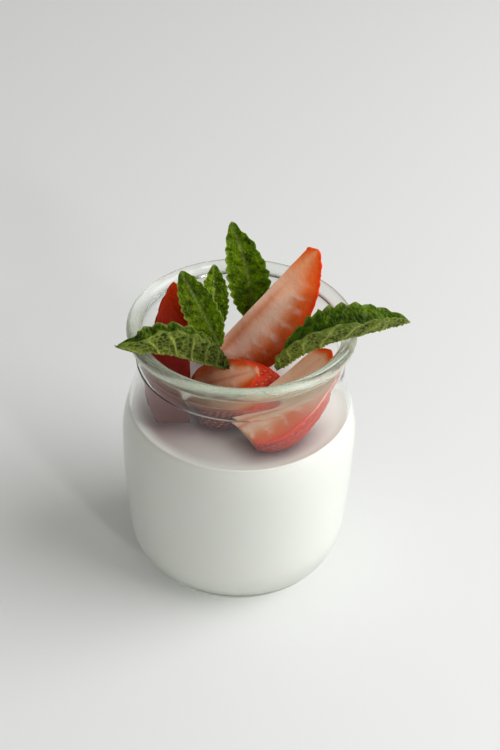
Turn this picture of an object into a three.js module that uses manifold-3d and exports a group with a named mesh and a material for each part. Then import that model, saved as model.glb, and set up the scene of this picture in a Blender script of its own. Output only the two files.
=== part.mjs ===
// Panna cotta set in a small glass jar, topped with strawberry quarters and mint leaves.
// Millimetres, +Z up. The origin is the centre of the jar's flat base, which rests on z = 0.
// -Y is the front of the serving, +X its right side.

import * as THREE from 'three';
import { mergeVertices } from 'three/addons/utils/BufferGeometryUtils.js';
import Module from 'manifold-3d';

const wasm = await Module();
wasm.setup();

// ---- driving dimensions ----

// Spaces left between neighbouring pieces.
const GAP = 0.3;

// The jar: a round-heeled, slightly barrel-shaped body, a shoulder, a short neck and a rim bead.
const JAR = {
  segments: 48,
  baseRadius: 22,
  heelHeight: 17,
  heelRadius: 34,
  bodyRadius: 35.4,
  bodyTop: 48,
  neckRadius: 30.8,
  neckBottom: 73,
  beadCentreRadius: 31.5,
  beadCentreHeight: 85.4,
  beadRadius: 2.15,
  lipDepth: 3.44,
  wall: 2,
  floor: 4.5,
  innerBaseRadius: 19,
  innerHeelTop: 19,
};

// The set cream fills the jar up to this height, with a faint rise where it meets the glass.
const FILL_HEIGHT = 58;
const MENISCUS = { height: 0.5, width: 2.5 };

// A whole strawberry's outline: widest a third of the way from the cut calyx end to the tip.
const BERRY = {
  segments: 24,
  rings: 10,
  widestAt: 0.32,
  calyxTaper: 0.92,
  tipTaper: 2,
  tipRoundness: 0.75,
};

// Larger than any topping, for the blocks that cut them.
const CUTTER_SIZE = 200;

// Mint leaves are made thick enough to be sturdy solids, and open out towards the foot.
const LEAF = {
  thickness: 0.6,
  teeth: 11,
  columns: 4,
  toothDepth: 0.12,
  narrowest: 0.08,
  fullness: 0.65,
  footFold: 0.5,
  footShare: 0.12,
};

// Each strawberry quarter: where its core meets the calyx end and the tip, the share of its length
// cut off with the calyx, the way its main cut face looks, the angle between its two cut faces, and
// how far each face lies beyond the core.
// A mirrored quarter has its skin on the other side of the main cut face.
const QUARTERS = [
  {
    name: 'strawberry_centre',
    calyx: [-8, 10.8, 65.3],
    tip: [21.6, 19.6, 100.3],
    radius: 14.6,
    calyxCut: 0.05,
    facing: [-0.15, -0.9, 0.35],
    spread: 60,
    beyondFace: 0,
    beyondBack: 2.4,
  },
  {
    name: 'strawberry_left',
    calyx: [-18, -15.2, 58.6],
    tip: [-20.7, 14.6, 90.5],
    radius: 8,
    calyxCut: 0.06,
    facing: [0.2, -0.75, 0.6],
    spread: 24,
    beyondFace: 0,
    beyondBack: 1.8,
    mirrored: true,
  },
  {
    name: 'strawberry_front',
    calyx: [-14.5, -6.3, 62.2],
    tip: [12, -0.5, 67.6],
    radius: 9.8,
    calyxCut: 0.07,
    facing: [-0.03, -0.25, 1],
    spread: 180,
    beyondFace: 6.5,
    beyondBack: 6.5,
  },
  {
    name: 'strawberry_right',
    calyx: [-1.5, -19.9, 63.2],
    tip: [26.2, -0.9, 79],
    radius: 13.8,
    calyxCut: 0.06,
    facing: [-0.36, -0.25, 0.9],
    spread: 50,
    beyondFace: 0,
    beyondBack: 3.3,
  },
];

// Each mint leaf: points on its midrib from foot to tip, half its width and where along it that
// is, how many degrees its right-hand and left-hand halves fold up from flat (at the tip too, where
// that differs), and the way its right-hand edge points at the foot and at the tip.
const LEAVES = [
  {
    name: 'mint_leaf_back',
    rib: [[3, 26.2, 69], [2.4, 25.6, 78], [0.5, 25.4, 90], [-4.2, 26.8, 104.4]],
    halfWidth: 7,
    widest: 0.45,
    folds: [14, 14],
    sides: [[1, 0.1, 0], [1, -0.1, 0]],
  },
  {
    name: 'mint_leaf_front',
    rib: [[-6.2, 4, 75.1], [-8.4, 5, 79.6], [-13, 7.2, 88.1], [-18.4, 11.6, 96.6]],
    halfWidth: 5.8,
    widest: 0.5,
    folds: [12, 12],
    sides: [[1, 0, 0.3], [1, 0, 0.4]],
  },
  {
    name: 'mint_leaf_middle',
    rib: [[-8, 14, 72], [-8.4, 15.4, 77], [-8.8, 18, 85], [-9, 21, 92.8]],
    halfWidth: 4.8,
    widest: 0.5,
    folds: [16, 16],
    sides: [[1, 0.1, 0], [1, 0.2, 0]],
  },
  {
    name: 'mint_leaf_left',
    rib: [[-3.5, -6, 75], [-11, -13, 82], [-20, -17.2, 88], [-30.6, -18, 89.4], [-34.6, -14.4, 88.6]],
    halfWidth: 9.5,
    widest: 0.55,
    folds: [40, 114],
    tipFolds: [20, 15],
    sides: [[0.3, 1, 0.1], [0.4, 1, 0.1]],
  },
  {
    name: 'mint_leaf_right',
    rib: [[10.8, -5, 74.4], [17.5, -7.6, 82.4], [24.5, -9.2, 87.6], [31.5, -8.2, 89.8], [48.4, -1.5, 90.6]],
    halfWidth: 11.3,
    widest: 0.5,
    folds: [55, 30],
    tipFolds: [62, 30],
    sides: [[-0.1, -1, 0], [0.1, -1, 0]],
  },
];

const GLASS = { color: 0xdfe6df, roughness: 0.05, metalness: 0 };
const CREAM = { color: 0xf4f2ec, roughness: 0.45, metalness: 0 };
const STRAWBERRY = { color: 0xc0452a, roughness: 0.4, metalness: 0 };
const MINT = { color: 0x4d6414, roughness: 0.6, metalness: 0 };

// ---- helpers ----

const radians = THREE.MathUtils.degToRad;
const vector = ([x, y, z]) => new THREE.Vector3(x, y, z);

/** Profile points along an elliptical arc, angles in degrees from the +radius direction. */
function arc(centre, radiusAcross, radiusUp, from, to, steps) {
  const points = [];
  for (let i = 0; i <= steps; i++) {
    const angle = radians(THREE.MathUtils.lerp(from, to, i / steps));
    const radius = centre.x + radiusAcross * Math.cos(angle);
    const height = centre.y + radiusUp * Math.sin(angle);
    points.push(new THREE.Vector2(radius, height));
  }
  return points;
}

/** The rounding from a flat base out to the heel; it stops short, and the wall runs on from it. */
function heelArc(baseRadius, heel, depth) {
  const centre = new THREE.Vector2(baseRadius, heel.y);
  return arc(centre, heel.x - baseRadius, depth, -90, -15, 5);
}

/** Profile points from one radius and height to another, by a share of the way for each height. */
function run(from, to, steps, shareOfWay) {
  const points = [];
  for (let i = 0; i <= steps; i++) {
    const share = i / steps;
    const radius = THREE.MathUtils.lerp(from.x, to.x, shareOfWay(share));
    const height = THREE.MathUtils.lerp(from.y, to.y, share);
    points.push(new THREE.Vector2(radius, height));
  }
  return points;
}

// Upright at both ends, as a shoulder is, and upright at the upper end only, as a barrel is.
const shoulder = (share) => (1 - Math.cos(Math.PI * share)) / 2;
const barrel = (share) => Math.sin(Math.PI * share / 2);

/** A body turned about Z from a profile of (radius, height) points. */
function turned(profile, segments) {
  return new THREE.LatheGeometry(profile, segments).rotateX(Math.PI / 2);
}

/** The solid inside a closed mesh. */
function solidOf(geometry) {
  const bare = geometry.clone();
  bare.deleteAttribute('normal');
  bare.deleteAttribute('uv');
  const welded = mergeVertices(bare, 1e-4);
  const mesh = new wasm.Mesh({
    numProp: 3,
    vertProperties: new Float32Array(welded.attributes.position.array),
    triVerts: new Uint32Array(welded.index.array),
  });
  mesh.merge();
  return new wasm.Manifold(mesh);
}

/** The mesh around a solid. */
function geometryOf(solid) {
  const mesh = solid.getMesh();
  const geometry = new THREE.BufferGeometry();
  geometry.setAttribute('position', new THREE.BufferAttribute(mesh.vertProperties, 3));
  geometry.setIndex(new THREE.BufferAttribute(mesh.triVerts, 1));
  geometry.computeVertexNormals();
  return geometry;
}

function named(name, geometry, look) {
  const mesh = new THREE.Mesh(geometry, new THREE.MeshStandardMaterial(look));
  mesh.name = name;
  return mesh;
}

// ---- jar ----

/** The jar's inside from the floor's centre up to a height, drawn in by a margin from the glass. */
function innerProfile(margin) {
  const inset = JAR.wall + margin;
  const floor = JAR.floor + margin;
  const heel = new THREE.Vector2(JAR.heelRadius - inset, JAR.innerHeelTop);
  const body = new THREE.Vector2(JAR.bodyRadius - inset, JAR.bodyTop);
  const neck = new THREE.Vector2(JAR.neckRadius - inset, JAR.neckBottom);
  return [
    new THREE.Vector2(0, floor),
    ...heelArc(JAR.innerBaseRadius, heel, heel.y - floor),
    ...run(heel, body, 4, barrel),
    ...run(body, neck, 8, shoulder).slice(1),
  ];
}

function jarGeometry() {
  const heel = new THREE.Vector2(JAR.heelRadius, JAR.heelHeight);
  const body = new THREE.Vector2(JAR.bodyRadius, JAR.bodyTop);
  const neck = new THREE.Vector2(JAR.neckRadius, JAR.neckBottom);
  const bead = new THREE.Vector2(JAR.beadCentreRadius, JAR.beadCentreHeight);
  const outsideOfBead = -106;
  const insideOfBead = 200;
  const profile = [
    new THREE.Vector2(0, 0),
    ...heelArc(JAR.baseRadius, heel, heel.y),
    ...run(heel, body, 4, barrel),
    ...run(body, neck, 8, shoulder).slice(1),
    ...arc(bead, JAR.beadRadius, JAR.beadRadius, outsideOfBead, insideOfBead, 10),
    new THREE.Vector2(JAR.neckRadius - JAR.wall, bead.y - JAR.lipDepth),
    ...innerProfile(0).reverse(),
  ];
  return turned(profile, JAR.segments);
}

// ---- cream ----

function creamGeometry() {
  const inset = JAR.wall + GAP;
  const edgeHeight = FILL_HEIGHT + MENISCUS.height;
  const share = (edgeHeight - JAR.bodyTop) / (JAR.neckBottom - JAR.bodyTop);
  const wallRadius = THREE.MathUtils.lerp(JAR.bodyRadius, JAR.neckRadius, shoulder(share)) - inset;
  const profile = [
    ...innerProfile(GAP).filter((point) => point.y < FILL_HEIGHT),
    new THREE.Vector2(wallRadius, edgeHeight),
    new THREE.Vector2(wallRadius - MENISCUS.width, FILL_HEIGHT),
    new THREE.Vector2(0, FILL_HEIGHT),
  ];
  return turned(profile, JAR.segments);
}

// ---- strawberries ----

/** A whole berry's radius at a share of its length, as a share of its greatest radius. */
function berryOutline(share) {
  if (share < BERRY.widestAt) {
    const toCalyx = 1 - share / BERRY.widestAt;
    return Math.sqrt(1 - BERRY.calyxTaper * toCalyx ** 2);
  }
  const toTip = (share - BERRY.widestAt) / (1 - BERRY.widestAt);
  return (1 - toTip ** BERRY.tipTaper) ** BERRY.tipRoundness;
}

/** A whole berry on the Z axis from 0 to its tip, its calyx end cut flat at a share of the length. */
function berryGeometry(length, radius, calyxCut) {
  const profile = [new THREE.Vector2(0, calyxCut * length)];
  for (let i = 0; i < BERRY.rings; i++) {
    const share = THREE.MathUtils.lerp(calyxCut, 1, Math.sin((i / BERRY.rings) * Math.PI / 2));
    profile.push(new THREE.Vector2(radius * berryOutline(share), share * length));
  }
  profile.push(new THREE.Vector2(0, length));
  return turned(profile, BERRY.segments);
}

/** Everything beyond a plane, as a block far larger than a berry. */
function beyondPlane(normal, offset) {
  const block = new THREE.BoxGeometry(CUTTER_SIZE, CUTTER_SIZE, CUTTER_SIZE);
  block.applyQuaternion(new THREE.Quaternion().setFromUnitVectors(new THREE.Vector3(1, 0, 0), normal));
  const shift = normal.clone().multiplyScalar(offset + CUTTER_SIZE / 2);
  return solidOf(block.translate(shift.x, shift.y, shift.z));
}

/** The room over the cream that the toppings may take, inside the glass and above the rim. */
function toppingRoom() {
  const neckRadius = JAR.neckRadius - JAR.wall - GAP;
  const shoulderSlack = 1;
  const profile = [
    new THREE.Vector2(0, FILL_HEIGHT + GAP),
    new THREE.Vector2(neckRadius + shoulderSlack, FILL_HEIGHT + GAP),
    new THREE.Vector2(neckRadius, JAR.neckBottom),
    new THREE.Vector2(neckRadius, CUTTER_SIZE),
    new THREE.Vector2(0, CUTTER_SIZE),
  ];
  return turned(profile, JAR.segments);
}

/** One quarter of a berry: a whole berry with the room beyond its two cut faces taken away. */
function strawberryQuarter(quarter) {
  // Its own frame: the core along +Z, the main cut face looking along +Y.
  const calyx = vector(quarter.calyx);
  const axis = vector(quarter.tip).sub(calyx);
  const length = axis.length();
  axis.normalize();
  const facing = vector(quarter.facing);
  const face = facing.addScaledVector(axis, -facing.dot(axis)).normalize();
  const across = new THREE.Vector3().crossVectors(face, axis);

  const mesh = named(quarter.name, new THREE.BufferGeometry(), STRAWBERRY);
  mesh.position.copy(calyx);
  mesh.quaternion.setFromRotationMatrix(new THREE.Matrix4().makeBasis(across, face, axis));
  mesh.updateMatrixWorld();

  const skinSide = quarter.mirrored ? 1 : -1;
  const spread = radians(quarter.spread);
  const faceNormal = new THREE.Vector3(0, 1, 0);
  const backNormal = new THREE.Vector3(-skinSide * Math.sin(spread), -Math.cos(spread), 0);
  const room = toppingRoom().applyMatrix4(mesh.matrixWorld.clone().invert());
  const solid = solidOf(berryGeometry(length, quarter.radius, quarter.calyxCut))
    .subtract(beyondPlane(faceNormal, quarter.beyondFace))
    .subtract(beyondPlane(backNormal, quarter.beyondBack))
    .intersect(solidOf(room));
  mesh.geometry = geometryOf(solid);
  return mesh;
}

// ---- mint leaves ----

/** A leaf's half width at a share of its length: ovate, with saw teeth along the margin. */
function leafOutline(share, widest) {
  const evenShare = share ** (Math.log(0.5) / Math.log(widest));
  const ovate = Math.sin(Math.PI * evenShare) ** LEAF.fullness;
  const phase = (share * LEAF.teeth) % 1;
  const tooth = 1 - LEAF.toothDepth * Math.abs(2 * phase - 1);
  return Math.max(ovate * tooth, LEAF.narrowest);
}

/** One leaf: a thin slab bent along its midrib, folded up on both sides of it. */
function mintLeaf(leaf) {
  const curve = new THREE.CatmullRomCurve3(leaf.rib.map(vector));
  const [footSide, tipSide] = leaf.sides.map(vector);
  const tipFolds = leaf.tipFolds ?? leaf.folds;
  const slab = new THREE.BoxGeometry(2, 1, 1, LEAF.columns, 2 * LEAF.teeth, 1);
  const places = slab.attributes.position;
  const foot = curve.getPointAt(0);
  for (let i = 0; i < places.count; i++) {
    const share = THREE.MathUtils.clamp(places.getY(i) + 0.5, 0, 1);
    const across = places.getX(i);
    const along = curve.getTangentAt(share);
    const side = footSide.clone().lerp(tipSide, share);
    side.addScaledVector(along, -side.dot(along)).normalize();
    const up = new THREE.Vector3().crossVectors(side, along);
    const width = leaf.halfWidth * leafOutline(share, leaf.widest) * across;
    const pastFoot = THREE.MathUtils.smoothstep(share, 0, LEAF.footShare);
    const closed = THREE.MathUtils.lerp(LEAF.footFold, 1, pastFoot);
    const folds = leaf.folds.map((angle, k) => {
      return radians(closed * THREE.MathUtils.lerp(angle, tipFolds[k], share ** 4));
    });
    const normals = folds.map((fold, k) => {
      const tilted = up.clone().multiplyScalar(Math.cos(fold));
      return tilted.addScaledVector(side, (k === 0 ? -1 : 1) * Math.sin(fold));
    });
    const half = across > 0 ? 0 : 1;
    const rise = new THREE.Vector3().addScaledVector(side, Math.cos(folds[half]) * width);
    rise.addScaledVector(up, Math.sin(folds[half]) * Math.abs(width));
    const bisector = normals[0].clone().add(normals[1]).normalize();
    const normal = across === 0 ? bisector : normals[half];
    const place = curve.getPointAt(share).sub(foot).add(rise);
    place.addScaledVector(normal, places.getZ(i) * LEAF.thickness);
    places.setXYZ(i, place.x, place.y, place.z);
  }
  slab.computeVertexNormals();
  const mesh = named(leaf.name, slab, MINT);
  mesh.position.copy(foot);
  return mesh;
}

// ---- the serving ----

const serving = new THREE.Group();
serving.add(named('jar', jarGeometry(), GLASS));
serving.add(named('panna_cotta', creamGeometry(), CREAM));
for (const quarter of QUARTERS) {
  serving.add(strawberryQuarter(quarter));
}
for (const leaf of LEAVES) {
  serving.add(mintLeaf(leaf));
}

export default serving;
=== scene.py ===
"""Panna cotta in a small glass jar, topped with strawberry quarters and mint leaves.

Shapes are worked out in millimetres in the row frame and turned into metres when a mesh is made.
+Z is up, -Y is the front of the serving, and the origin is the centre of the jar's flat base.
"""

import math
import random

import bmesh
import bpy
import numpy as np
from mathutils import Matrix, Vector, kdtree, noise


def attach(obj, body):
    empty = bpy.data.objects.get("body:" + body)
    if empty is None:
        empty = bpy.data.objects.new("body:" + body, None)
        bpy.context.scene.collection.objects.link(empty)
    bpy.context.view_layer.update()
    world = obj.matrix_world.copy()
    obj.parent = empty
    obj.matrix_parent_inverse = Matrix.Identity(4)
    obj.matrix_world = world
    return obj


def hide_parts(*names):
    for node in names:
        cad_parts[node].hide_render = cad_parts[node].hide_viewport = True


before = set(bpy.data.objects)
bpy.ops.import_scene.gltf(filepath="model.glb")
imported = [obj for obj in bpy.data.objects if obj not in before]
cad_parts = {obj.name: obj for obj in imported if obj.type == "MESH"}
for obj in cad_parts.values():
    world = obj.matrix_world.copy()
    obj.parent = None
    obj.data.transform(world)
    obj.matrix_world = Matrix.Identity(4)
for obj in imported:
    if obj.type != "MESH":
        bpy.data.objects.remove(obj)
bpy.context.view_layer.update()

MM = 0.001
random.seed(7)

# ---- the serving's dimensions, as in the CAD part ----

# The body is a hair narrower than in the CAD, so that the glass stays inside the CAD's box.
JAR = {
    "segments": 192,
    "base_radius": 22,
    "heel_height": 17,
    "heel_radius": 34,
    "body_radius": 35.39,
    "body_top": 48,
    "neck_radius": 30.8,
    "neck_bottom": 73,
    "bead_centre_radius": 31.5,
    "bead_centre_height": 85.4,
    "bead_radius": 2.15,
    "lip_depth": 3.44,
    "wall": 2,
    "floor": 4.5,
    "inner_base_radius": 19,
    "inner_heel_top": 19,
}

# A fine raised line on the neck, at the front left only.
SEAM = {"height": 75.5, "width": 0.7, "depth": 0.2, "steps": 12}

# The set cream's level, its faint rise at the glass, and how far it reaches into the glass.
FILL_HEIGHT = 58
MENISCUS = {"height": 0.5, "width": 2.5, "steps": 7}
INTO_WALL = 0.25

# How far from a berry the cream is stained by juice and darkened by painted shadow.
JUICE_AND_SHADOW_REACH = 4.6

# A whole strawberry's outline: widest a third of the way from the cut calyx end to the tip.
BERRY = {
    "widest_at": 0.32,
    "calyx_taper": 0.92,
    "tip_taper": 2,
    "tip_roundness": 0.75,
}

# Each strawberry quarter: where its core meets the calyx end and the tip, the share of its length
# cut off with the calyx, the way its main cut face looks, the angle between its two cut faces, and
# how far each face lies beyond the core. These are the CAD part's values.
# Then its colouring: how strong the pale streak at its core is, how dark red its flesh is, from
# which share of its length and how much it reddens to the tip, how pale the stretch before the tip
# is, and how much painted shade darkens it at its foot and along its foot's edge.
QUARTERS = {
    "strawberry_centre": {
        "calyx": (-8, 10.8, 65.3),
        "tip": (21.6, 19.6, 100.3),
        "radius": 14.6,
        "calyx_cut": 0.05,
        "facing": (-0.15, -0.9, 0.35),
        "spread": 60,
        "beyond_face": 0,
        "beyond_back": 2.4,
        "mirrored": False,
        "streak": 1,
        "ripe": 0.0,
        "red_from": 0.55,
        "tip_red": 0.45,
        "pallor": 0,
        "shaded": (0, 1),
    },
    "strawberry_left": {
        "calyx": (-18, -15.2, 58.6),
        "tip": (-20.7, 14.6, 90.5),
        "radius": 8,
        "calyx_cut": 0.06,
        "facing": (0.2, -0.75, 0.6),
        "spread": 24,
        "beyond_face": 0,
        "beyond_back": 1.8,
        "mirrored": True,
        "streak": 0,
        "ripe": 1.0,
        "red_from": 0.6,
        "tip_red": 0.45,
        "pallor": 0,
        "shaded": (0.5, 0),
    },
    "strawberry_front": {
        "calyx": (-14.5, -6.3, 62.2),
        "tip": (12, -0.5, 67.6),
        "radius": 9.8,
        "calyx_cut": 0.07,
        "facing": (-0.03, -0.25, 1),
        "spread": 180,
        "beyond_face": 6.5,
        "beyond_back": 6.5,
        "mirrored": False,
        "streak": 0.2,
        "ripe": 0.25,
        "red_from": 0.6,
        "tip_red": 0.45,
        "pallor": 0,
        "shaded": (1.6, 0.5),
    },
    "strawberry_right": {
        "calyx": (-1.5, -19.9, 63.2),
        "tip": (26.2, -0.9, 79),
        "radius": 13.8,
        "calyx_cut": 0.06,
        "facing": (-0.36, -0.25, 0.9),
        "spread": 50,
        "beyond_face": 0,
        "beyond_back": 3.3,
        "mirrored": False,
        "streak": 0.5,
        "ripe": 0.0,
        "red_from": 0.88,
        "tip_red": 0.9,
        "pallor": 0.55,
        "shaded": (0, 0),
    },
}

# Pale veins in the flesh, and the seeds in the skin with the dimples they lie in.
FLESH_VEIN = {"spacing": 4.4, "width": 0.7}
SEED = {
    "spacing": 2.05,
    "length": 1.2,
    "half_width": 0.34,
    "half_depth": 0.24,
    "sunk": 0.22,
    "off_edge": 0.7,
    "off_cream": 0.3,
    "dimple_radius": 0.95,
}
GOLDEN_ANGLE = math.radians(137.508)

# Each mint leaf: points on its midrib from foot to tip, half its width and where along it that is,
# how many degrees its right-hand and left-hand halves fold up from flat (at the tip too, where that
# differs), and the way its right-hand edge points at the foot and at the tip. These are the CAD
# part's values. Then its colouring: the share of its length that painted shade darkens at the foot,
# and how much painted shade darkens the whole leaf.
LEAVES = {
    "mint_leaf_back": {
        "rib": ((3, 26.2, 69), (2.4, 25.6, 78), (0.5, 25.4, 90), (-4.2, 26.8, 104.4)),
        "foot": 0.05,
        "dark": 0.0,
        "half_width": 7,
        "widest": 0.45,
        "folds": (14, 14),
        "sides": ((1, 0.1, 0), (1, -0.1, 0)),
    },
    "mint_leaf_front": {
        "rib": ((-6.2, 4, 75.1), (-8.4, 5, 79.6), (-13, 7.2, 88.1), (-18.4, 11.6, 96.6)),
        "foot": 0.05,
        "dark": 0.0,
        "half_width": 5.8,
        "widest": 0.5,
        "folds": (12, 12),
        "sides": ((1, 0, 0.3), (1, 0, 0.4)),
    },
    "mint_leaf_middle": {
        "rib": ((-8, 14, 72), (-8.4, 15.4, 77), (-8.8, 18, 85), (-9, 21, 92.8)),
        "foot": 0.05,
        "dark": 0.0,
        "half_width": 4.8,
        "widest": 0.5,
        "folds": (16, 16),
        "sides": ((1, 0.1, 0), (1, 0.2, 0)),
    },
    "mint_leaf_left": {
        "rib": (
            (-3.5, -6, 75),
            (-11, -13, 82),
            (-20, -17.2, 88),
            (-30.6, -18, 89.4),
            (-34.6, -14.4, 88.6),
        ),
        "foot": 0.75,
        "dark": 0.36,
        "half_width": 9.5,
        "widest": 0.55,
        "folds": (40, 114),
        "tip_folds": (20, 15),
        "sides": ((0.3, 1, 0.1), (0.4, 1, 0.1)),
    },
    "mint_leaf_right": {
        "rib": (
            (10.8, -5, 74.4),
            (17.5, -7.6, 82.4),
            (24.5, -9.2, 87.6),
            (31.5, -8.2, 89.8),
            (48.4, -1.5, 90.6),
        ),
        "foot": 0.1,
        "dark": 0.42,
        "half_width": 11.3,
        "widest": 0.5,
        "folds": (55, 30),
        "tip_folds": (62, 30),
        "sides": ((-0.1, -1, 0), (0.1, -1, 0)),
    },
}

# Real leaves are thinner than the CAD part's, which are made to be sturdy solids.
LEAF = {
    "thickness": 0.34,
    "teeth": 11,
    "tooth_depth": 0.12,
    "narrowest": 0.08,
    "fullness": 0.65,
    "foot_fold": 0.5,
    "foot_share": 0.12,
    "crease": 0.35,
}
LEAF_VEIN = {"count": 7.5, "bend": 0.17, "side": 0.42, "middle": 0.55, "net": 0.16, "midrib": 0.5}

FLOOR = {"half": 3000, "below": 0.06}
CAMERA = {"pitch": 38.3, "roll": 2.0, "distance": 0.5, "target": (0.0028, 0, 0.0679), "lens": 80.74}

# ---- mesh helpers ----


def mesh_object(name, points, faces, attributes=None, smooth=True):
    """A mesh object from points in millimetres, with named values for its points."""
    mesh = bpy.data.meshes.new(name)
    points = np.asarray(points, float) * MM
    mesh.from_pydata(points.tolist(), [], faces)
    mesh.update()
    for key, values in (attributes or {}).items():
        layer = mesh.attributes.new(key, "FLOAT", "POINT")
        layer.data.foreach_set("value", np.asarray(values, np.float32))
    if smooth:
        mesh.polygons.foreach_set("use_smooth", [True] * len(mesh.polygons))
    obj = bpy.data.objects.new(name, mesh)
    bpy.context.scene.collection.objects.link(obj)
    return obj


def lathe(profile, segments):
    """Points and faces of a body turned about Z; the profile starts and ends on the axis."""
    ring = [(r, z) for r, z in profile[1:-1]]
    points = [(0, 0, profile[0][1])]
    for r, z in ring:
        for k in range(segments):
            angle = 2 * math.pi * k / segments
            points.append((r * math.cos(angle), r * math.sin(angle), z))
    points.append((0, 0, profile[-1][1]))
    last = len(points) - 1
    faces = []
    for k in range(segments):
        following = (k + 1) % segments
        faces.append((0, 1 + following, 1 + k))
        for i in range(len(ring) - 1):
            low, high = 1 + i * segments, 1 + (i + 1) * segments
            faces.append((low + k, low + following, high + following, high + k))
        top = 1 + (len(ring) - 1) * segments
        faces.append((last, top + k, top + following))
    return points, faces


def arc(centre, across, up, start, end, steps):
    """Profile points along an elliptical arc, angles in degrees from the +radius direction."""
    points = []
    for i in range(steps + 1):
        angle = math.radians(start + (end - start) * i / steps)
        points.append((centre[0] + across * math.cos(angle), centre[1] + up * math.sin(angle)))
    return points


def run(start, end, steps, share_of_way):
    """Profile points between two places, by a share of the way for each height."""
    points = []
    for i in range(steps + 1):
        share = i / steps
        radius = start[0] + (end[0] - start[0]) * share_of_way(share)
        points.append((radius, start[1] + (end[1] - start[1]) * share))
    return points


def shoulder(share):
    """The share of the way for a line that is upright at both ends."""
    return (1 - math.cos(math.pi * share)) / 2


def barrel(share):
    """The share of the way for a line that is upright at its upper end."""
    return math.sin(math.pi * share / 2)


def unit(vector):
    vector = np.asarray(vector, float)
    return vector / np.linalg.norm(vector)


def smoothstep(low, high, value):
    share = np.clip((value - low) / (high - low), 0, 1)
    return share * share * (3 - 2 * share)


# ---- material helpers ----


def colour(red, green, blue):
    """A colour given as it looks on a screen, 0 to 255, as the linear values that shaders take."""
    linear = []
    for channel in (red, green, blue):
        value = channel / 255
        linear.append(value / 12.92 if value <= 0.04045 else ((value + 0.055) / 1.055) ** 2.4)
    return (*linear, 1.0)


class Shading:
    """A material with short calls for its nodes."""

    def __init__(self, name):
        self.material = bpy.data.materials.new(name)
        self.material.use_nodes = True
        self.tree = self.material.node_tree
        self.tree.nodes.clear()
        self.output = self.tree.nodes.new("ShaderNodeOutputMaterial")

    def node(self, kind, inputs=None, **settings):
        made = self.tree.nodes.new("ShaderNode" + kind)
        for key, value in settings.items():
            setattr(made, key, value)
        for key, value in (inputs or {}).items():
            self.feed(made, key, value)
        return made

    def feed(self, made, key, value):
        socket = made.inputs[key]
        if isinstance(value, bpy.types.NodeSocket):
            self.tree.links.new(value, socket)
        else:
            socket.default_value = value

    def attribute(self, name):
        return self.node("Attribute", attribute_name=name).outputs["Fac"]

    def math(self, operation, first, second=0.0):
        return self.node("Math", {0: first, 1: second}, operation=operation).outputs[0]

    def ramp(self, factor, stops):
        made = self.node("ValToRGB", {"Fac": factor})
        elements = made.color_ramp.elements
        while len(elements) < len(stops):
            elements.new(0.5)
        for element, (position, value) in zip(elements, stops):
            element.position = position
            element.color = value
        return made.outputs["Color"]

    def remap(self, value, low, high, new_low, new_high):
        """A value between low and high as the same share of the way between two others."""
        inputs = {"Value": value, "From Min": low, "From Max": high, "To Min": new_low, "To Max": new_high}
        return self.node("MapRange", inputs).outputs[0]

    def mix(self, factor, first, second):
        made = self.node("Mix", data_type="RGBA")
        for index, value in ((0, factor), (6, first), (7, second)):
            self.feed(made, index, value)
        return made.outputs[2]

    def noise(self, scale, detail=2.0, roughness=0.5):
        place = self.node("TexCoord").outputs["Object"]
        inputs = {"Vector": place, "Scale": scale, "Detail": detail, "Roughness": roughness}
        return self.node("TexNoise", inputs).outputs["Fac"]

    def bump(self, height, distance, strength=1.0):
        made = self.node("Bump", {"Height": height, "Distance": distance, "Strength": strength})
        return made.outputs["Normal"]

    def surface(self, socket):
        self.tree.links.new(socket, self.output.inputs["Surface"])
        return self.material


# ---- the jar ----


def inner_profile(margin):
    """The jar's inside from the floor's centre up, drawn in by a margin from the glass."""
    inset = JAR["wall"] + margin
    floor = JAR["floor"] + margin
    heel = (JAR["heel_radius"] - inset, JAR["inner_heel_top"])
    body = (JAR["body_radius"] - inset, JAR["body_top"])
    neck = (JAR["neck_radius"] - inset, JAR["neck_bottom"])
    centre = (JAR["inner_base_radius"], heel[1])
    return (
        [(0, floor)]
        + arc(centre, heel[0] - centre[0], heel[1] - floor, -90, -15, 16)
        + run(heel, body, 16, barrel)
        + run(body, neck, 28, shoulder)[1:]
    )


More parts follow.
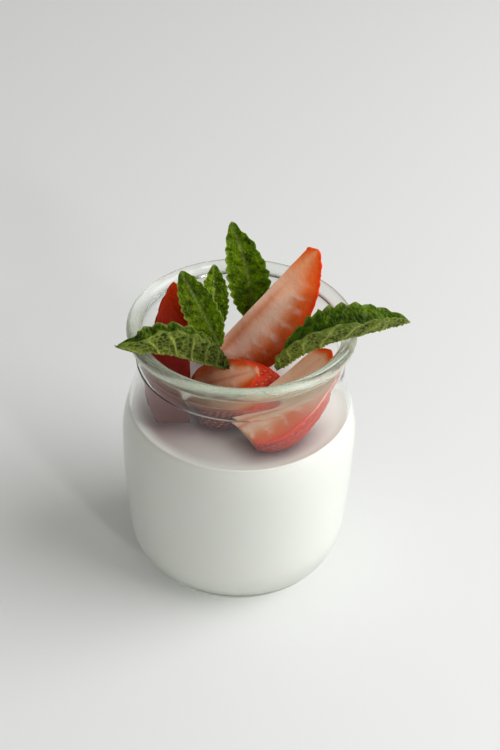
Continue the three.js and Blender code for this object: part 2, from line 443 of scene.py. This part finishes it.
def make_jar():
    """The glass, with a fine seam at the front left of its neck.

    Of its named values, rim is 1 in the thick bead, base is 1 in the thick foot, milk says how
    cloudy the bead is, and front is 1 on the near side.
    """
    heel = (JAR["heel_radius"], JAR["heel_height"])
    body = (JAR["body_radius"], JAR["body_top"])
    neck = (JAR["neck_radius"], JAR["neck_bottom"])
    centre = (JAR["base_radius"], heel[1])
    bead = (JAR["bead_centre_radius"], JAR["bead_centre_height"])
    seam = []
    for i in range(SEAM["steps"] + 1):
        height = SEAM["height"] + SEAM["width"] * (i / SEAM["steps"] - 0.5)
        rise = SEAM["depth"] * math.sin(math.pi * i / SEAM["steps"]) ** 2
        seam.append((JAR["neck_radius"] + rise, height))
    profile = (
        [(0, 0)]
        + arc(centre, heel[0] - centre[0], heel[1], -90, -15, 16)
        + run(heel, body, 16, barrel)
        + run(body, neck, 28, shoulder)[1:]
        + seam
        + arc(bead, JAR["bead_radius"], JAR["bead_radius"], -106, 200, 36)
        + [(JAR["neck_radius"] - JAR["wall"], bead[1] - JAR["lip_depth"])]
        + inner_profile(0)[::-1]
    )
    points, faces = lathe(profile, JAR["segments"])
    points = np.array(points)
    height = points[:, 2]
    radius = np.hypot(points[:, 0], points[:, 1])
    rise = np.where(np.abs(height - SEAM["height"]) < SEAM["width"], radius - JAR["neck_radius"], 0)
    turn = np.degrees(np.arctan2(-points[:, 1], -points[:, 0]))
    fade = smoothstep(-5, 12, turn) * (1 - smoothstep(85, 120, turn))
    drawn_in = 1 - np.clip(rise, 0, 1) * (1 - fade) / np.maximum(radius, 1)
    points[:, 0] *= drawn_in
    points[:, 1] *= drawn_in
    rim = smoothstep(bead[1] - 3.6, bead[1] - 1.6, height)
    base = 1 - smoothstep(2, 9, height)
    milk = np.zeros(len(points))
    for i in np.nonzero(rim > 0)[0]:
        around = points[i] / radius[i] * 3.2
        spot = Vector((around[0], around[1], height[i] * 0.9 + radius[i] * 1.3))
        milk[i] = 0.5 + 0.5 * noise.noise(spot) + 0.35 * noise.noise(spot * 3.1)
    # The near side, where the rim's tint and cloud also carry painted shade and refraction.
    front = smoothstep(-0.35, 0.3, -points[:, 1] / np.maximum(radius, 1))
    values = {"rim": rim, "base": base, "milk": np.clip(milk, 0, 1) * rim, "front": front}
    return mesh_object("glass_jar", points, faces, values)


def glass_material():
    """Clear glass, green in its thick rim and foot, cloudy in the rim; lamps shine through it."""
    s = Shading("jar_glass")
    # The thick rim's green, weighted to the near side: partly the glass's own tint, partly painted shade
    # of the bead there.
    front = s.math("ADD", 0.25, s.math("MULTIPLY", s.attribute("front"), 0.75))
    thick = s.math("MAXIMUM", s.math("MULTIPLY", s.attribute("rim"), front), s.attribute("base"))
    tint = s.mix(thick, (0.985, 0.99, 0.985, 1), (0.9, 0.93, 0.86, 1))
    rough = s.remap(s.attribute("rim"), 0, 1, 0.0, 0.22)
    glass = s.node("BsdfGlass", {"Color": tint, "Roughness": rough, "IOR": 1.44})
    # The bead's cloud, weighted to the near side: partly the glass's own, partly painted shade and
    # refraction there.
    milky = s.node("BsdfPrincipled", {"Base Color": colour(182, 188, 166), "Roughness": 0.3})
    cloudy = s.remap(s.attribute("milk"), 0.25, 0.8, 0.1, 0.6)
    near_rim = s.math("MULTIPLY", s.attribute("rim"), s.attribute("front"))
    share = s.math("MULTIPLY", cloudy, near_rim)
    body = s.node("MixShader", {0: share, 1: glass.outputs[0], 2: milky.outputs[0]})
    clear = s.node("BsdfTransparent", {"Color": (0.93, 0.95, 0.93, 1)})
    path = s.node("LightPath")
    lamp = s.math("MAXIMUM", path.outputs["Is Shadow Ray"], path.outputs["Is Diffuse Ray"])
    both = s.node("MixShader", {0: lamp, 1: body.outputs[0], 2: clear.outputs[0]})
    return s.surface(both.outputs[0])


# ---- the cream ----


def make_cream(toppings):
    """The set cream, a hair wider than the jar's inside.

    Of its named values, the one for the berries' juice and their painted shadow is 1 at what lies
    on it, top is 1 on its upper face and fades at the glass, and across runs from 0 at the left to
    1 at the right, for painted shade towards the left.
    """
    edge_height = FILL_HEIGHT + MENISCUS["height"]
    share = (edge_height - JAR["body_top"]) / (JAR["neck_bottom"] - JAR["body_top"])
    wall = JAR["body_radius"] + (JAR["neck_radius"] - JAR["body_radius"]) * shoulder(share)
    wall -= JAR["wall"] - INTO_WALL
    profile = [point for point in inner_profile(-INTO_WALL) if point[1] < FILL_HEIGHT]
    profile.append((wall, edge_height))
    for i in range(1, MENISCUS["steps"] + 1):
        drop = i / MENISCUS["steps"]
        height = FILL_HEIGHT + MENISCUS["height"] * (1 - drop) ** 2.2
        profile.append((wall - MENISCUS["width"] * drop, height))
    radius = profile[-1][0]
    rings = 26
    for i in range(1, rings):
        profile.append((radius * (1 - i / rings), FILL_HEIGHT))
    profile.append((0, FILL_HEIGHT))
    points, faces = lathe(profile, 144)

    tree = kdtree.KDTree(len(toppings))
    for i, place in enumerate(toppings):
        tree.insert(place, i)
    tree.balance()
    # The berries' juice and their painted shadow on the cream, strongest right next to them.
    juice_and_shadow = []
    for point in points:
        if point[2] < FILL_HEIGHT - 1:
            juice_and_shadow.append(0.0)
            continue
        distance = tree.find(point)[2]
        juice_and_shadow.append(math.exp(-((distance / JUICE_AND_SHADOW_REACH) ** 1.3)))
    points = np.array(points)
    top = smoothstep(FILL_HEIGHT - 1.5, FILL_HEIGHT - 0.2, points[:, 2])
    top *= 1 - 0.75 * smoothstep(wall - 4.5, wall - 0.3, np.hypot(points[:, 0], points[:, 1]))
    # Left to right across the cream, for the painted shade that darkens its top towards the left.
    across = smoothstep(-28, 26, points[:, 0])
    return mesh_object("cream", points, faces, {"juice_and_shadow": juice_and_shadow, "top": top, "across": across})


def cream_material():
    """White set cream; its top has painted shade to the left, and juice with painted shadow near berries.
    """
    s = Shading("set_cream")
    # Painted shade: the top is darker towards the left, away from the window light.
    top = s.mix(s.attribute("across"), colour(180, 162, 161), colour(252, 249, 246))
    # The berries' juice and their painted shadow, dusky red close to them.
    top = s.mix(s.attribute("juice_and_shadow"), top, colour(104, 56, 60))
    base = s.mix(s.attribute("top"), colour(229, 229, 224), top)
    shade = s.node(
        "BsdfPrincipled",
        {
            "Base Color": base,
            "Roughness": 0.38,
            "Subsurface Weight": 0.5,
            "Subsurface Radius": (1.0, 0.8, 0.6),
            "Subsurface Scale": 0.004,
            "IOR": 1.4,
        },
    )
    return s.surface(shade.outputs[0])


# ---- strawberries ----


def berry_outline(share):
    """A whole berry's radius at shares of its length, as a share of its greatest radius."""
    share = np.clip(np.asarray(share, float), 0, 1)
    to_calyx = np.clip(1 - share / BERRY["widest_at"], 0, 1)
    low = np.sqrt(1 - BERRY["calyx_taper"] * to_calyx**2)
    to_tip = np.clip((share - BERRY["widest_at"]) / (1 - BERRY["widest_at"]), 0, 1)
    high = np.clip(1 - to_tip ** BERRY["tip_taper"], 0, 1) ** BERRY["tip_roundness"]
    return np.where(share < BERRY["widest_at"], low, high)


class Quarter:
    """Where one quarter lies, and the planes it is cut by, in its own frame.

    The core runs along +Z from the calyx end, and the main cut face looks along +Y.
    """

    def __init__(self, data):
        self.origin = np.array(data["calyx"], float)
        core = np.array(data["tip"], float) - self.origin
        self.length = np.linalg.norm(core)
        axis = core / self.length
        facing = np.array(data["facing"], float)
        face = unit(facing - facing.dot(axis) * axis)
        self.turn = np.stack([np.cross(face, axis), face, axis], axis=1)
        self.radius = data["radius"]
        self.calyx_cut = data["calyx_cut"]
        skin_side = 1 if data["mirrored"] else -1
        spread = math.radians(data["spread"])
        self.back = np.array([-skin_side * math.sin(spread), -math.cos(spread), 0])
        self.beyond_face = data["beyond_face"]
        self.beyond_back = data["beyond_back"]

    def place(self, points):
        """Points of its own frame in the serving's frame."""
        return self.origin + np.asarray(points, float) @ self.turn.T


def cut_berry(quarter):
    """The quarter's closed mesh in its own frame: a whole berry less what lies beyond its cuts."""
    rings, segments = 60, 96
    profile = [(0, quarter.calyx_cut * quarter.length)]
    for i in range(rings):
        share = quarter.calyx_cut + (1 - quarter.calyx_cut) * math.sin(i / rings * math.pi / 2)
        profile.append((quarter.radius * float(berry_outline(share)), share * quarter.length))
    profile.append((0, quarter.length))
    points, faces = lathe(profile, segments)
    bm = bmesh.new()
    made = [bm.verts.new(point) for point in points]
    for face in faces:
        bm.faces.new([made[i] for i in face])
    up = quarter.turn.T @ np.array([0, 0, 1.0])
    lowest = FILL_HEIGHT - 0.15
    cuts = [
        ((0, 1, 0), quarter.beyond_face),
        (tuple(quarter.back), quarter.beyond_back),
        (tuple(-up), -(lowest - quarter.origin[2])),
    ]
    for normal, offset in cuts:
        normal = Vector(normal)
        everything = bm.verts[:] + bm.edges[:] + bm.faces[:]
        bmesh.ops.bisect_plane(
            bm, geom=everything, dist=1e-5, plane_co=normal * offset, plane_no=normal, clear_outer=True
        )
        rim = [edge for edge in bm.edges if edge.is_boundary]
        if rim:
            bmesh.ops.holes_fill(bm, edges=rim, sides=0)
    bmesh.ops.triangulate(bm, faces=bm.faces[:])
    bmesh.ops.recalc_face_normals(bm, faces=bm.faces[:])
    mesh = bpy.data.meshes.new("cut")
    bm.to_mesh(mesh)
    bm.free()
    return mesh


def remeshed(mesh, voxel):
    """The same closed shape as even small faces: points, faces and normals."""
    obj = bpy.data.objects.new("remeshing", mesh)
    bpy.context.scene.collection.objects.link(obj)
    modifier = obj.modifiers.new("even", "REMESH")
    modifier.mode = "VOXEL"
    modifier.voxel_size = voxel
    modifier.use_smooth_shade = True
    smoothing = obj.modifiers.new("soft", "SMOOTH")
    smoothing.factor = 0.5
    smoothing.iterations = 2
    done = obj.evaluated_get(bpy.context.evaluated_depsgraph_get()).to_mesh()
    points = np.zeros(len(done.vertices) * 3)
    done.vertices.foreach_get("co", points)
    normals = np.zeros(len(done.vertices) * 3)
    done.vertices.foreach_get("normal", normals)
    faces = [tuple(face.vertices) for face in done.polygons]
    bpy.data.objects.remove(obj)
    bpy.data.meshes.remove(mesh)
    return points.reshape(-1, 3), faces, normals.reshape(-1, 3)


def seed_places(quarter):
    """Where the seeds sit on a berry's skin, in its own frame, spiralling from calyx to tip."""
    places = []
    shares = np.linspace(quarter.calyx_cut + 0.02, 0.985, 600)
    radii = quarter.radius * berry_outline(shares)
    steps = np.hypot(np.gradient(radii), np.gradient(shares * quarter.length))
    area = np.cumsum(2 * math.pi * radii * steps)
    count = int(area[-1] / (SEED["spacing"] * SEED["spacing"]))
    for i in range(count):
        share = float(np.interp((i + 0.5) / count * area[-1], area, shares))
        angle = i * GOLDEN_ANGLE + random.uniform(-0.06, 0.06)
        radius = quarter.radius * float(berry_outline(share))
        slope = quarter.radius * float(berry_outline(share + 0.01) - berry_outline(share - 0.01))
        slope /= 0.02 * quarter.length
        place = np.array([radius * math.cos(angle), radius * math.sin(angle), share * quarter.length])
        normal = unit([math.cos(angle), math.sin(angle), -slope])
        along = unit([slope * math.cos(angle), slope * math.sin(angle), 1])
        off_face = place[1] < quarter.beyond_face - SEED["off_edge"]
        off_back = quarter.back.dot(place) < quarter.beyond_back - SEED["off_edge"]
        off_cream = quarter.place(place)[2] > FILL_HEIGHT + SEED["off_cream"]
        if off_face and off_back and off_cream:
            places.append((place, normal, along))
    return places


def room_for(points, margin):
    """Points drawn in, where needed, to stay inside the glass and above the cream's surface."""
    radius = np.hypot(points[:, 0], points[:, 1])
    neck = JAR["neck_radius"] - JAR["wall"] - margin
    share = np.clip((points[:, 2] - JAR["body_top"]) / (JAR["neck_bottom"] - JAR["body_top"]), 0, 1)
    body = JAR["body_radius"] - JAR["wall"] - margin
    limit = body + (neck - body) * (1 - np.cos(math.pi * share)) / 2
    limit = np.where(points[:, 2] > JAR["bead_centre_height"] + 3, 1000, limit)
    scale = np.minimum(1, limit / np.maximum(radius, 1e-6))
    points[:, 0] *= scale
    points[:, 1] *= scale
    return points


def make_berry(name, data):
    """One quarter and its seeds, and its points in the serving's frame."""
    quarter = Quarter(data)
    seeds = seed_places(quarter)
    points, faces, normals = remeshed(cut_berry(quarter), 0.33)

    radius = np.hypot(points[:, 0], points[:, 1])
    share = points[:, 2] / quarter.length
    outline = quarter.radius * berry_outline(np.clip(share, quarter.calyx_cut, 0.999))
    depth = outline - radius
    to_face = quarter.beyond_face - points[:, 1]
    to_back = quarter.beyond_back - points @ quarter.back
    is_skin = 1 - smoothstep(0.25, 0.75, depth)
    off_cuts = smoothstep(0.05, 0.6, np.minimum(to_face, to_back))
    skin = is_skin * off_cuts

    # Dimples round the seeds, and a gently uneven skin and flesh.
    tree = kdtree.KDTree(max(len(seeds), 1))
    for i, (place, _, _) in enumerate(seeds):
        tree.insert(place, i)
    tree.balance()
    dimple = np.zeros(len(points))
    if seeds:
        for i in np.nonzero(is_skin > 0.05)[0]:
            distance = tree.find(points[i])[2]
            dimple[i] = math.exp(-((distance / SEED["dimple_radius"]) ** 2))
    uneven = np.array([noise.noise(Vector(point) * 0.16) for point in points])
    fine = np.array([noise.noise(Vector(point) * 0.55 + Vector((9, 4, 2))) for point in points])

    # Pale veins run outwards from the core and bend towards the tip.
    offset = quarter.beyond_face
    out = np.sqrt(np.clip(radius**2 - offset**2, 0, None))
    out = out / np.maximum(np.sqrt(np.clip(outline**2 - offset**2, 0.01, None)), 0.1)
    out = np.clip(out, 0, 1)
    bent = points[:, 2] - (0.8 * share - 0.3) * radius + 0.5 * fine + 1.2 * uneven
    phase = bent / FLESH_VEIN["spacing"]
    off_vein = np.abs(phase - np.round(phase)) * FLESH_VEIN["spacing"]
    vein = np.exp(-((off_vein / FLESH_VEIN["width"]) ** 2))
    vein = vein * smoothstep(0.12, 0.35, out) * (1 - smoothstep(0.5, 0.88, out))
    vein *= np.clip(0.75 + 1.3 * fine, 0, 1) * (1 - smoothstep(0.6, 0.85, share))
    core = np.exp(-(((out - 0.25) / 0.17) ** 2)) * (1 - smoothstep(0.5, 0.85, share)) * data["streak"]
    before_tip = smoothstep(0.4, 0.65, share) * (1 - smoothstep(0.86, 0.95, share))
    reddened = data["tip_red"] * smoothstep(data["red_from"], 1, share)
    # Painted shade, darkest at the foot and along the foot's edge, where leaves and other pieces shade it.
    at_foot, at_edge = data["shaded"]
    shade = at_foot * (1 - smoothstep(0.05, 0.75, share))
    shade += at_edge * smoothstep(0.35, 0.75, out) * (1 - smoothstep(0.35, 0.72, share))
    height = (0.25 - 0.45 * dimple) * is_skin + 0.2 * uneven + 0.05 * fine
    height += (0.06 * np.clip(vein, 0, 1) - 0.1 * core) * (1 - skin)
    points = points + normals * height[:, None]

    world = room_for(quarter.place(points), 0.12)
    body = mesh_object(
        name.replace("strawberry", "berry"),
        world,
        faces,
        {
            "skin": skin,
            "depth": (1 - out) * (1 - reddened),
            "vein": np.clip(vein, 0, 1),
            "core": core,
            "dimple": dimple,
            "along": share,
            "ripe": np.full(len(points), data["ripe"]),
            "shade": np.clip(shade, 0, 1.3),
            "pallor": data["pallor"] * before_tip,
        },
    )
    return body, make_seeds(name, quarter, seeds), world


def make_seeds(name, quarter, seeds):
    """The seeds of one quarter as small pointed ovals lying in their dimples."""
    points, faces = [], []
    rings, segments = 6, 8
    for place, normal, along in seeds:
        across = np.cross(along, normal)
        start = len(points)
        size = random.uniform(0.9, 1.1)
        centre = place - normal * SEED["sunk"]
        for i in range(rings + 1):
            t = i / rings
            width = math.sin(math.pi * t) ** 0.8 * (1.15 - 0.5 * t)
            for k in range(segments):
                angle = 2 * math.pi * k / segments
                offset = (
                    along * (t - 0.5) * SEED["length"] * size
                    + across * SEED["half_width"] * size * width * math.cos(angle)
                    + normal * SEED["half_depth"] * size * width * math.sin(angle)
                )
                points.append(centre + offset)
        for i in range(rings):
            for k in range(segments):
                following = (k + 1) % segments
                low, high = start + i * segments, start + (i + 1) * segments
                faces.append((low + k, low + following, high + following, high + k))
    world = room_for(quarter.place(points), 0.1)
    return mesh_object(name.replace("strawberry", "seeds"), world, faces)


def berry_material():
    """Skin where the skin value is high; elsewhere flesh, palest inside and along the veins.

    Riper flesh is dark red; the shade value is painted shade on skin and flesh alike, and the skin has
    painted shade in its dimples.
    """
    s = Shading("strawberry_flesh")
    speckle = s.noise(1100.0, 3.0)
    cloud = s.noise(160.0, 2.0)
    ripe = s.attribute("ripe")
    pale = s.math("SUBTRACT", 1.0, ripe)
    clouding = s.math("MULTIPLY", s.math("SUBTRACT", cloud, 0.5), 0.2)
    depth = s.math("ADD", s.attribute("depth"), clouding)
    flesh = s.ramp(
        depth,
        [
            (0.0, colour(226, 48, 0)),
            (0.12, colour(236, 84, 12)),
            (0.34, colour(236, 108, 40)),
            (0.6, colour(242, 160, 112)),
            (0.85, colour(240, 178, 142)),
            (1.0, colour(228, 140, 100)),
        ],
    )
    flesh = s.mix(s.attribute("pallor"), flesh, colour(255, 210, 180))
    vein = s.math("MULTIPLY", s.attribute("vein"), s.math("MULTIPLY", pale, 0.6))
    flesh = s.mix(vein, flesh, colour(255, 228, 212))
    core = s.math("MULTIPLY", s.attribute("core"), s.math("MULTIPLY", pale, 0.85))
    flesh = s.mix(core, flesh, colour(250, 212, 190))
    deep = s.ramp(
        s.attribute("along"),
        [(0.0, colour(66, 4, 6)), (0.6, colour(104, 6, 0)), (1.0, colour(176, 44, 0))],
    )
    flesh = s.mix(ripe, flesh, deep)
    # Painted shade on the flesh.
    flesh = s.mix(s.math("MULTIPLY", s.attribute("shade"), 0.65), flesh, colour(74, 24, 2))
    skin = s.ramp(s.attribute("along"), [(0.0, colour(172, 24, 12)), (1.0, colour(204, 46, 6))])
    # Painted shade in the dimples round the seeds.
    skin = s.mix(s.math("MULTIPLY", s.attribute("dimple"), 0.45), skin, colour(120, 14, 8))
    # Painted shade on the skin as well.
    skin = s.mix(s.math("MULTIPLY", s.attribute("shade"), 0.7), skin, colour(84, 12, 22))
    base = s.mix(s.attribute("skin"), flesh, skin)
    speckled = s.math("MULTIPLY", s.math("SUBTRACT", speckle, 0.35), s.math("MULTIPLY", pale, 0.12))
    base = s.mix(speckled, base, colour(240, 190, 160))
    rough = s.remap(s.attribute("skin"), 0, 1, 0.45, 0.38)
    shade = s.node(
        "BsdfPrincipled",
        {
            "Base Color": base,
            "Roughness": rough,
            "Specular IOR Level": 0.1,
            "Subsurface Weight": 0.3,
            "Subsurface Radius": (1.0, 0.35, 0.2),
            "Subsurface Scale": 0.0025,
            "IOR": 1.42,
            "Normal": s.bump(speckle, 0.00025, 0.6),
        },
    )
    return s.surface(shade.outputs[0])


def seed_material():
    s = Shading("strawberry_seeds")
    base = s.mix(s.noise(400.0), colour(168, 66, 28), colour(200, 116, 60))
    shade = s.node("BsdfPrincipled", {"Base Color": base, "Roughness": 0.4})
    return s.surface(shade.outputs[0])


# ---- mint leaves ----


def curve_samples(rib, count):
    """Even steps along the smooth curve through the points of a leaf's midrib."""
    ribs = [np.array(point, float) for point in rib]
    ends = [2 * ribs[0] - ribs[1]] + ribs + [2 * ribs[-1] - ribs[-2]]
    dense = []
    pieces = 120
    for i in range(len(ribs) - 1):
        p0, p1, p2, p3 = ends[i : i + 4]
        d0, d1, d2 = (np.linalg.norm(b - a) ** 0.5 for a, b in ((p0, p1), (p1, p2), (p2, p3)))
        m1 = ((p1 - p0) / d0 - (p2 - p0) / (d0 + d1) + (p2 - p1) / d1) * d1
        m2 = ((p2 - p1) / d1 - (p3 - p1) / (d1 + d2) + (p3 - p2) / d2) * d1
        for k in range(pieces + (i == len(ribs) - 2)):
            t = k / pieces
            dense.append(
                p1 + m1 * t + (3 * (p2 - p1) - 2 * m1 - m2) * t**2 + (2 * (p1 - p2) + m1 + m2) * t**3
            )
    dense = np.array(dense)
    lengths = np.concatenate([[0], np.cumsum(np.linalg.norm(np.diff(dense, axis=0), axis=1))])
    wanted = np.linspace(0, lengths[-1], count)
    even = np.stack([np.interp(wanted, lengths, dense[:, k]) for k in range(3)], axis=1)
    tangents = np.gradient(even, axis=0)
    tangents /= np.linalg.norm(tangents, axis=1)[:, None]
    return even, tangents, lengths[-1]


def leaf_outline(share, widest):
    """A leaf's half width at shares of its length: ovate, with teeth that lean to the tip."""
    even = share ** (math.log(0.5) / math.log(widest))
    ovate = np.sin(math.pi * np.clip(even, 0, 1)) ** LEAF["fullness"]
    phase = (share * LEAF["teeth"]) % 1
    tooth = np.where(phase < 0.68, phase / 0.68, (1 - phase) / 0.32)
    notch = 1 - LEAF["tooth_depth"] * (1 - tooth**0.8)
    return np.maximum(ovate * notch, LEAF["narrowest"] * (1 - smoothstep(0.93, 1.0, share)))


def make_leaf(name, data, order):
    """One leaf: a thin blade bent along its midrib, folded up on both sides, quilted and veined."""
    columns, rows = ((57, 221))
    rib, along, length = curve_samples(data["rib"], rows)
    across = np.linspace(-1, 1, columns)
    share = np.linspace(0, 1, rows)
    foot_side, tip_side = (np.array(side, float) for side in data["sides"])
    side = foot_side + (tip_side - foot_side) * share[:, None]
    side -= (side * along).sum(1)[:, None] * along
    side /= np.linalg.norm(side, axis=1)[:, None]
    up = np.cross(side, along)

    u, v = np.meshgrid(across, share)
    width = data["half_width"] * leaf_outline(v, data["widest"]) * u
    start = np.array(data["folds"], float)
    end = np.array(data.get("tip_folds", data["folds"]), float)
    closed = LEAF["foot_fold"] + (1 - LEAF["foot_fold"]) * smoothstep(0, LEAF["foot_share"], v)
    along_fold = closed[..., None] * (start + (end - start) * v[..., None] ** 4)
    fold = np.radians(np.where(u > 0, along_fold[..., 0], along_fold[..., 1]))
    lift = np.sqrt(width**2 + LEAF["crease"]**2) - LEAF["crease"]
    blend = smoothstep(0, 0.6, np.abs(width))
    fold = fold * blend + np.radians(along_fold.mean(2)) * (1 - blend)
    place = (
        rib[:, None, :]
        + side[:, None, :] * (np.cos(fold) * width)[..., None]
        + up[:, None, :] * (np.sin(fold) * lift)[..., None]
    )

    # Side veins leave the midrib and bend towards the tip; the blade is quilted between them.
    half = np.abs(u)
    veins = LEAF_VEIN["count"]
    bent = v - (LEAF_VEIN["bend"] * half**0.85) * (1 - 0.45 * v)
    phase = bent * veins + 0.5 * (u > 0) * 0.35
    off = np.abs(phase - np.round(phase)) / veins * length
    side_vein = np.exp(-((off / LEAF_VEIN["side"]) ** 2)) * (1 - smoothstep(0.8, 1.0, half))
    mid_vein = np.exp(-((width / LEAF_VEIN["middle"]) ** 2)) * (1 - 0.5 * v)
    shape = (rows, columns)
    net = np.zeros(shape)
    swell = np.zeros(shape)
    for i in range(rows):
        for k in range(columns):
            spot = Vector((width[i, k] * 0.75, v[i, k] * length * 0.75, order * 11.0))
            cells = noise.voronoi(spot)[0]
            net[i, k] = cells[1] - cells[0]
            swell[i, k] = noise.noise(spot * 0.3)
    small_vein = np.exp(-((net / LEAF_VEIN["net"]) ** 2)) * (1 - smoothstep(0.9, 1.0, half))
    vein = np.clip(np.maximum(np.maximum(side_vein, mid_vein), 0.55 * small_vein), 0, 1)
    quilt = np.minimum(1, off / 1.6) ** 0.7 * (1 - mid_vein)
    relief = 0.5 * quilt - 0.42 * small_vein - 0.3 * mid_vein + 0.9 * swell * np.minimum(1, half * 2)
    relief *= smoothstep(0, 0.06, v) * (1 - smoothstep(0.94, 1, v))

    dv = np.gradient(place, axis=0)
    du = np.gradient(place, axis=1)
    normal = np.cross(du, dv)
    size = np.linalg.norm(normal, axis=2)[..., None]
    normal = np.where(size > 1e-9, normal / np.maximum(size, 1e-9), up[:, None, :])
    middle = place + normal * relief[..., None]
    thin = LEAF["thickness"] * (0.5 + 0.5 * (1 - half**4)) * (1 + 0.9 * mid_vein)
    top = middle + normal * (thin / 2)[..., None]
    under = middle - normal * (thin / 2)[..., None]

    count = rows * columns
    index = np.arange(count).reshape(shape)
    faces = []
    for i in range(rows - 1):
        for k in range(columns - 1):
            a, b, c, d = index[i, k], index[i, k + 1], index[i + 1, k + 1], index[i + 1, k]
            faces.append((int(a), int(b), int(c), int(d)))
            faces.append((int(d + count), int(c + count), int(b + count), int(a + count)))
    edge = (
        [int(index[0, k]) for k in range(columns)]
        + [int(index[i, -1]) for i in range(1, rows)]
        + [int(index[-1, k]) for k in range(columns - 2, -1, -1)]
        + [int(index[i, 0]) for i in range(rows - 2, 0, -1)]
    )
    for i, first in enumerate(edge):
        second = edge[(i + 1) % len(edge)]
        faces.append((second, first, first + count, second + count))
    points = np.concatenate([top.reshape(-1, 3), under.reshape(-1, 3)])

    def both(values):
        """A value of the upper face, for the under face as well."""
        return np.concatenate([values.ravel(), values.ravel()])

    return mesh_object(
        name.replace("mint_leaf", "leaf"),
        points,
        faces,
        {
            "vein": both(vein),
            "midrib": both(np.exp(-((width / LEAF_VEIN["midrib"]) ** 2))),
            "margin": both(smoothstep(0.86, 1.0, half)),
            "upper": np.concatenate([np.ones(count), np.zeros(count)]),
            "foot": both(1 - smoothstep(0.0, data["foot"], v)),
            "dark": np.full(2 * count, data["dark"]),
        },
    )


def leaf_material():
    """Mottled dark green above, with pale raised veins below; painted highlights along the edge,
    painted shade towards the foot and over some whole leaves.
    """
    s = Shading("mint_leaf")
    mottle = s.ramp(s.noise(420.0, 3.0), [(0.38, (0, 0, 0, 1)), (0.62, (1, 1, 1, 1))])
    upper = s.mix(mottle, colour(48, 66, 0), colour(106, 130, 2))
    upper = s.mix(s.math("MULTIPLY", s.attribute("vein"), 0.3), upper, colour(130, 152, 30))
    upper = s.mix(s.math("MULTIPLY", s.attribute("midrib"), 0.6), upper, colour(150, 164, 84))
    under = s.mix(mottle, colour(40, 54, 0), colour(90, 108, 20))
    under = s.mix(s.math("MULTIPLY", s.attribute("vein"), 0.85), under, colour(200, 212, 100))
    base = s.mix(s.attribute("upper"), under, upper)
    # Painted highlight along the toothed margin.
    base = s.mix(s.math("MULTIPLY", s.attribute("margin"), 0.5), base, colour(164, 178, 84))
    # Painted shade towards the foot.
    base = s.mix(s.math("MULTIPLY", s.attribute("foot"), 0.85), base, colour(26, 30, 0))
    # Painted shade over the whole leaf, as strong as its dark value.
    base = s.mix(s.attribute("dark"), base, colour(20, 30, 0))
    shade = s.node(
        "BsdfPrincipled",
        {
            "Base Color": base,
            "Roughness": 0.45,
            "Specular IOR Level": 0.12,
            "Subsurface Weight": 0.25,
            "Subsurface Radius": (0.5, 1.0, 0.1),
            "Subsurface Scale": 0.0015,
            "Normal": s.bump(s.noise(1400.0, 2.0), 0.0003, 0.6),
        },
    )
    return s.surface(shade.outputs[0])


# ---- the serving ----


def belongs(obj, material, node):
    """Gives a piece its material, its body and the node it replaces."""
    obj.data.materials.append(material)
    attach(obj, "root")
    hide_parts(node)


berries = {name: make_berry(name, data) for name, data in QUARTERS.items()}
berry_look, seed_look = berry_material(), seed_material()
low_points = []
for name, (body, seeds, world) in berries.items():
    belongs(body, berry_look, name)
    belongs(seeds, seed_look, name)
    low_points += [tuple(point) for point in world[world[:, 2] < FILL_HEIGHT + 8][::7]]

leaf_look = leaf_material()
for order, (name, data) in enumerate(LEAVES.items()):
    belongs(make_leaf(name, data, order), leaf_look, name)

belongs(make_cream(low_points), cream_material(), "panna_cotta")
belongs(make_jar(), glass_material(), "jar")

# ---- floor, light and camera ----


def make_floor():
    corners = ((-1, -1), (1, -1), (1, 1), (-1, 1))
    points = [(x * FLOOR["half"], y * FLOOR["half"], -FLOOR["below"]) for x, y in corners]
    floor = mesh_object("floor", points, [(0, 1, 2, 3)])
    s = Shading("pale_floor")
    shade = s.node("BsdfPrincipled", {"Base Color": colour(234, 234, 233), "Roughness": 0.6})
    floor.data.materials.append(s.surface(shade.outputs[0]))


def make_light(name, place, target, size, power, tint=(1, 1, 1)):
    data = bpy.data.lights.new(name, "AREA")
    data.shape = "RECTANGLE"
    data.size, data.size_y = size
    data.energy = power
    data.color = tint
    obj = bpy.data.objects.new(name, data)
    obj.location = place
    obj.rotation_euler = (Vector(target) - Vector(place)).to_track_quat("-Z", "Y").to_euler()
    bpy.context.scene.collection.objects.link(obj)


def make_world():
    world = bpy.data.worlds.new("studio")
    world.use_nodes = True
    background = world.node_tree.nodes["Background"]
    background.inputs["Color"].default_value = (0.9, 0.89, 0.86, 1)
    background.inputs["Strength"].default_value = 0.38
    bpy.context.scene.world = world


def make_camera():
    pitch = math.radians(CAMERA["pitch"])
    roll = math.radians(CAMERA["roll"])
    target = Vector(CAMERA["target"])
    forward = Vector((0, math.cos(pitch), -math.sin(pitch)))
    level_up = Vector((0, math.sin(pitch), math.cos(pitch)))
    right = Vector((1, 0, 0)) * math.cos(roll) + level_up * math.sin(roll)
    up = right.cross(forward)
    data = bpy.data.cameras.new("camera")
    data.sensor_fit = "AUTO"
    data.sensor_width = 36
    data.lens = CAMERA["lens"]
    obj = bpy.data.objects.new("camera", data)
    turn = Matrix((right, up, -forward)).transposed().to_4x4()
    obj.matrix_world = Matrix.Translation(target - forward * CAMERA["distance"]) @ turn
    bpy.context.scene.collection.objects.link(obj)
    bpy.context.scene.camera = obj


make_floor()
make_world()
make_light("window", (0.8, -0.02, 0.62), (0, 0.12, 0.04), (1.0, 0.9), 11.5, (0.98, 0.99, 1))
make_light("pane", (0.42, -0.66, 0.42), (0, 0, 0.07), (0.06, 0.08), 1.2)
make_camera()
bpy.context.scene.view_settings.view_transform = "Standard"
